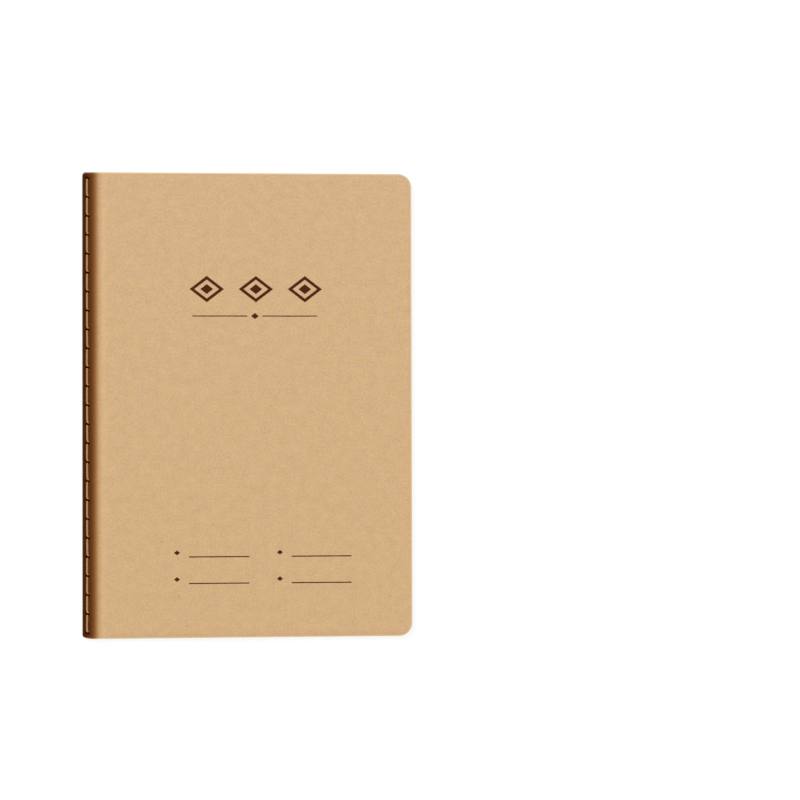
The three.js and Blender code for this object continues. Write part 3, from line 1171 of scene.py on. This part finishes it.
def stack_tree():
    """Stacks copies of one leaf downwards, each a little smaller, with their faces and cut edges finished."""
    inputs = {
        "Geometry": "Geometry",
        "Count": "Int",
        **numbers("Pitch", "Spread"),
        "Seed": "Int",
        "Face": "Material",
        "Edge": "Material",
    }
    g, given = new_graph("GeometryNodeTree", "Leaf stack", inputs, {"Geometry": "Geometry"})
    step = g.vector(0.0, 0.0, given["Pitch"] * -1.0)
    row = g.put("GeometryNodeMeshLine", {"Count": given["Count"], "Offset": step})
    least = 1.0 - given["Spread"]
    sizes = {"Min": g.vector(least, least, 1.0), "Max": (1.0, 1.0, 1.0), "Seed": given["Seed"]}
    size = g.put("FunctionNodeRandomValue", sizes, data_type="FLOAT_VECTOR")
    copied = {"Points": row, "Instance": given["Geometry"], "Scale": size}
    copies = g.put("GeometryNodeInstanceOnPoints", copied)
    tints = {"Min_001": 0.0, "Max_001": 1.0, "Seed": given["Seed"]}
    tint = g.put("FunctionNodeRandomValue", tints, "Value_001", data_type="FLOAT")
    stored = {"Geometry": copies, "Name": "tint", "Value": tint}
    tinted = g.put("GeometryNodeStoreNamedAttribute", stored, data_type="FLOAT", domain="INSTANCE")
    solid = g.put("GeometryNodeRealizeInstances", {0: tinted})
    edged = g.put("GeometryNodeSetMaterial", {0: solid, "Material": given["Edge"]})
    facing = abs(g.parts(g.put("GeometryNodeInputNormal"))[2])
    is_face = g.put("FunctionNodeCompare", {0: facing, 1: 0.5}, data_type="FLOAT", operation="GREATER_THAN")
    dressed = g.put("GeometryNodeSetMaterial", {0: edged, "Selection": is_face, "Material": given["Face"]})
    g.node("NodeGroupOutput", {0: dressed})
    return g.tree


# Print


def bar(left, right, middle_y, width):
    low, high = middle_y - width / 2, middle_y + width / 2
    return [(left, low), (right, low), (right, high), (left, high)]


def lozenge(x, y, half_sizes):
    half_wide, half_high = (size * MM for size in half_sizes)
    return [(x - half_wide, y), (x, y - half_high), (x + half_wide, y), (x, y + half_high)]


class Print:
    """Collects thin closed plates of ink on the front board for one mesh."""

    def __init__(self, printing, chance):
        self.film = printing.film
        self.chance = chance
        self.points = []
        self.faces = []

    def stray(self, amount):
        return self.chance.uniform(-amount, amount)

    def outline(self, corners, amount=INK_ROUGHNESS, step=INK_STEP):
        """A closed line through the corners, of many points that stray a little, as ink spreads."""
        line = []
        for start, end in zip(corners, corners[1:] + corners[:1]):
            start, end = Vector(start), Vector(end)
            count = max(1, round((end - start).length / step))
            way = (end - start).normalized()
            out = Vector((way.y, -way.x))
            for i in range(count):
                spot = start.lerp(end, i / count) + out * self.stray(amount)
                line.append((spot.x, spot.y))
        return line

    def roughened(self, line):
        return [(x + self.stray(INK_ROUGHNESS), y + self.stray(INK_ROUGHNESS)) for x, y in line]

    def wall(self, line, inwards=False):
        """The upper and lower rings of a closed line, with the wall between them."""
        rings = []
        for way in (1, -1):
            first = len(self.points)
            for x, y in line:
                top = float(settle(np.float64(x), np.float64(BOOK_TOP)))
                self.points.append((x, y, top + way * self.film))
            rings.append(list(range(first, len(self.points))))
        upper, lower = (ring[::-1] for ring in rings) if inwards else rings
        for i in range(len(line)):
            after = (i + 1) % len(line)
            self.faces.append((lower[i], lower[after], upper[after], upper[i]))
        return rings

    def plate(self, corners):
        """A solid shape with rough edges."""
        upper, lower = self.wall(self.outline(corners))
        self.faces += [upper, lower[::-1]]

    def ring(self, outside, inside):
        """A shape with a hole. Both lines have the same number of points."""
        upper, lower = self.wall(outside)
        hole_upper, hole_lower = self.wall(inside, inwards=True)
        for i in range(len(outside)):
            after = (i + 1) % len(outside)
            self.faces.append((upper[i], upper[after], hole_upper[after], hole_upper[i]))
            self.faces.append((lower[after], lower[i], hole_lower[i], hole_lower[after]))

    def made(self, name, material):
        mesh = new_mesh(name, self.points, self.faces, materials=[material])
        soften(mesh, math.radians(30))
        return add_object(name, mesh)


def cover_ornament(printing, chance, material):
    """Three plain lozenges and a thin rule in the place of a title."""
    ink = Print(printing, chance)
    middle_y = HALF_HEIGHT - ORNAMENT_DOWN * MM
    inner_step = INK_STEP * ORNAMENT_INSIDE[0] / ORNAMENT_OUTSIDE[0]
    for from_spine in ORNAMENT_PLACES:
        x = SPINE_X + from_spine * MM
        outside = ink.outline(lozenge(x, middle_y, ORNAMENT_OUTSIDE), 0.0)
        inside = ink.outline(lozenge(x, middle_y, ORNAMENT_INSIDE), 0.0, inner_step)
        if len(inside) != len(outside):
            raise RuntimeError("the lozenge's two outlines need the same number of points")
        ink.ring(ink.roughened(outside), ink.roughened(inside))
        ink.plate(lozenge(x, middle_y, ORNAMENT_CORE))
    rule_y = HALF_HEIGHT - DIVIDER_DOWN * MM
    left, right = (SPINE_X + end * MM for end in DIVIDER_ENDS)
    middle = (left + right) / 2
    gap = DIVIDER_GAP * MM
    for start, end in ((left, middle - gap), (middle + gap, right)):
        ink.plate(bar(start, end, rule_y, DIVIDER_WIDTH * MM))
    ink.plate(lozenge(middle, rule_y, DIVIDER_LOZENGE))
    return ink.made("cover_ornament", material)


def fill_in_rules(printing, chance, material):
    """Four rules to write on near the tail, each with a small lozenge before it."""
    ink = Print(printing, chance)
    for from_head, (left, right) in itertools.product(FILL_IN_DOWN, FILL_IN_ENDS):
        y = HALF_HEIGHT - from_head * MM
        ink.plate(bar(SPINE_X + left * MM, SPINE_X + right * MM, y, printing.rule_width))
        mark_x = SPINE_X + (left - FILL_IN_MARK_BEFORE) * MM
        ink.plate(lozenge(mark_x, y + FILL_IN_MARK_RISE * MM, FILL_IN_LOZENGE))
    return ink.made("fill_in_rules", material)


# Operators


class NOTEBOOK_OT_cover(bpy.types.Operator):
    """Makes the card cover: the wrap round the spine and the two boards"""

    bl_idname = "notebook.cover"
    bl_label = "Cover"

    def execute(self, context):
        cover = context.scene.notebook.cover
        finishes = [finish(recipe, cover) for recipe in (kraft_outside, kraft_inside, kraft_edge)]
        wrap = pierced(cover_wrap(cover, finishes), finish(hole_wall, cover))
        soften(wrap.data)
        flap_x = CREASE_X + HINGE_FLAP
        front = flat_board("front_board", flap_x, board_low.z, board_high.z, front_across, finishes)
        back = flat_board("back_board", CREASE_X, back_low.z, back_high.z, back_across, finishes, flip=True)
        crease, flap, bend_end = (
            (x, 0, (board_low.z + board_high.z) / 2) for x in (CREASE_X, flap_x, flap_x + COVER_BEND)
        )
        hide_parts("cover_spine")
        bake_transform(wrap)
        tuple(crease)
        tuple(flap)
        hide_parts("front_cover")
        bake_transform(front)
        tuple(flap)
        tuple(bend_end)
        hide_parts("back_cover")
        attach(back, "sewn_block")
        return {"FINISHED"}


class NOTEBOOK_OT_leaves(bpy.types.Operator):
    """Makes the leaves that turn, the stack behind them and the sewn margins"""

    bl_idname = "notebook.leaves"
    bl_label = "Leaves"

    def execute(self, context):
        leaves = context.scene.notebook.leaves
        face, edge = finish(ruled_leaf, leaves), finish(leaf_edge, leaves)
        chance = random.Random(leaves.seed)
        for name in LEAF_NAMES[:TURNING_LEAVES]:
            low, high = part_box(name)
            trims = [chance.uniform(0, leaves.trim_spread) for _ in range(2)]
            layers = Layers()
            layers.add(*leaf_grids(low.z, high.z, *trims), tint=chance.random())
            piece = layers.made("turning_" + name, [face, face, edge])
            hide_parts(name)
            start, end = ((x, 0, low.z) for x in (CREASE_X, CREASE_X + LEAF_BEND))
            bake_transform(piece)
            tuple(start)
            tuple(end)
        rear = self.rear_stack(leaves, face, edge)
        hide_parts(*LEAF_NAMES[TURNING_LEAVES:])
        margins = pierced(margin_layers(chance, [face, face, edge]), bpy.data.materials["hole_wall"])
        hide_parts("sewn_edge")
        for piece in (rear, margins):
            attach(piece, "sewn_block")
        return {"FINISHED"}

    def rear_stack(self, leaves, face, edge):
        """The leaves behind those that turn, as one stack."""
        names = LEAF_NAMES[TURNING_LEAVES:]
        low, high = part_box(names[0])
        upper, lower, flat = leaf_grids(0.0, 0.0, 0.0, 0.0)
        for grid, z in ((upper, high.z - low.z), (lower, 0.0)):
            grid[:, :, 0] -= CREASE_X
            grid[:, :, 2] = z
        one = Layers()
        one.add(upper, lower, flat)
        stack = one.made("rear_leaves", [])
        stack.data.attributes.remove(stack.data.attributes["tint"])
        values = {
            "Count": len(names),
            "Pitch": low.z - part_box(names[1])[0].z,
            "Spread": leaves.trim_spread / (LEAF_FORE_X - CREASE_X),
            "Seed": leaves.seed,
            "Face": face,
            "Edge": edge,
        }
        grown(stack, stack_tree(), values)
        place_mesh(stack, (CREASE_X, 0.0, low.z), settled=True)
        soften(stack.data)
        return stack


class NOTEBOOK_OT_seam(bpy.types.Operator):
    """Makes the needle thread on the front and the bobbin thread on the back"""

    bl_idname = "notebook.seam"
    bl_label = "Seam"

    def execute(self, context):
        seam = context.scene.notebook.seam
        tree = stitch_tree()
        values = {
            "Count": STITCHES,
            "Pitch": STITCH_PITCH,
            "Strand Radius": seam.strand_radius,
            "Thread Width": THREAD_WIDTH + seam.fluff,
            "Flatness": FLATNESS,
            "Lay": seam.lay_length,
            "Wobble": seam.wobble,
            "Material": finish(twisted_cotton, seam),
        }
        for name, node_name, side, seed in (
            ("needle_stitches", "needle_thread", 1, seam.seed),
            ("bobbin_stitches", "bobbin_thread", -1, seam.seed + 1),
        ):
            stitches = stitch_line(name, seam.drift, needle_low.z - MIDDLE_Z, side)
            grown(stitches, tree, {**values, "Seed": seed})
            place_mesh(stitches, (SEAM_X, FIRST_HOLE_Y, MIDDLE_Z))
            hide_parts(node_name)
            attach(stitches, "sewn_block")
        return {"FINISHED"}


class NOTEBOOK_OT_printing(bpy.types.Operator):
    """Prints the ornament and the fill-in rules on the front board"""

    bl_idname = "notebook.printing"
    bl_label = "Print"

    def execute(self, context):
        printing = context.scene.notebook.printing
        ink = finish(printing_ink, printing)
        chance = random.Random(printing.seed)
        for piece in (cover_ornament(printing, chance, ink), fill_in_rules(printing, chance, ink)):
            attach(piece, "front_cover")
        return {"FINISHED"}


class NOTEBOOK_OT_stage(bpy.types.Operator):
    """Sets the floor, the light and the camera"""

    bl_idname = "notebook.stage"
    bl_label = "Stage"

    def execute(self, context):
        stage = context.scene.notebook.stage
        self.floor(stage)
        self.light(context.scene, stage)
        self.camera(context.scene, stage)
        context.scene.view_settings.view_transform = "Standard"
        return {"FINISHED"}

    def floor(self, stage):
        corners = [
            (x * FLOOR_REACH, y * FLOOR_REACH, -FLOOR_BELOW) for x, y in ((-1, -1), (1, -1), (1, 1), (-1, 1))
        ]
        mesh = new_mesh("floor", corners, [range(4)], materials=[pale_floor(stage)])
        add_object("floor", mesh)

    def light(self, scene, stage):
        world = bpy.data.worlds.new("pale_room")
        g = emptied(world)
        sky = g.put("ShaderNodeBackground", {"Color": grey(1.0), "Strength": stage.sky})
        seen = g.put("ShaderNodeBackground", {"Color": grey(1.0), "Strength": 1.0})
        either = g.put("ShaderNodeMixShader", {0: looking_ray(g), 1: sky, 2: seen})
        g.node("ShaderNodeOutputWorld", {"Surface": either})
        scene.world = world
        lamp = bpy.data.lights.new("soft_sun", "SUN")
        lamp.energy = stage.sun
        lamp.angle = stage.sun_angle
        sun = add_object("soft_sun", lamp)
        sun.rotation_euler = Vector(SUN_FROM).to_track_quat("Z", "Y").to_euler()

    def camera(self, scene, stage):
        lens = bpy.data.cameras.new("camera")
        lens.lens = stage.lens
        lens.clip_start = 0.01
        lens.clip_end = 20.0
        camera = add_object("camera", lens)
        camera.location = (*CAMERA_PLACE, stage.camera_height)
        camera.rotation_mode = "ZXY"
        camera.rotation_euler = [math.radians(turn) for turn in CAMERA_TURNS]
        scene.camera = camera


class NOTEBOOK_PT_panel(bpy.types.Panel):
    """Lists the notebook's pieces and their settings"""

    bl_idname = "NOTEBOOK_PT_panel"
    bl_label = "Notebook"
    bl_space_type = "VIEW_3D"
    bl_region_type = "UI"
    bl_category = "Notebook"

    def draw(self, context):
        for step in ("stage", "cover", "leaves", "seam", "printing"):
            self.layout.operator("notebook." + step)
            box = self.layout.box()
            part = getattr(context.scene.notebook, step)
            for name in part.bl_rna.properties.keys():
                if name not in {"rna_type", "name"}:
                    box.prop(part, name)


CLASSES = (
    CoverSettings,
    LeafSettings,
    SeamSettings,
    PrintSettings,
    StageSettings,
    NotebookSettings,
    NOTEBOOK_OT_cover,
    NOTEBOOK_OT_leaves,
    NOTEBOOK_OT_seam,
    NOTEBOOK_OT_printing,
    NOTEBOOK_OT_stage,
    NOTEBOOK_PT_panel,
)


def register():
    for made in CLASSES:
        bpy.utils.register_class(made)
    bpy.types.Scene.notebook = PointerProperty(type=NotebookSettings)


def unregister():
    del bpy.types.Scene.notebook
    for made in reversed(CLASSES):
        bpy.utils.unregister_class(made)


def main():
    register()
    bpy.ops.notebook.stage()
    bpy.ops.notebook.cover()
    bpy.ops.notebook.leaves()
    bpy.ops.notebook.seam()
    bpy.ops.notebook.printing()


if __name__ == "__main__":
    main()
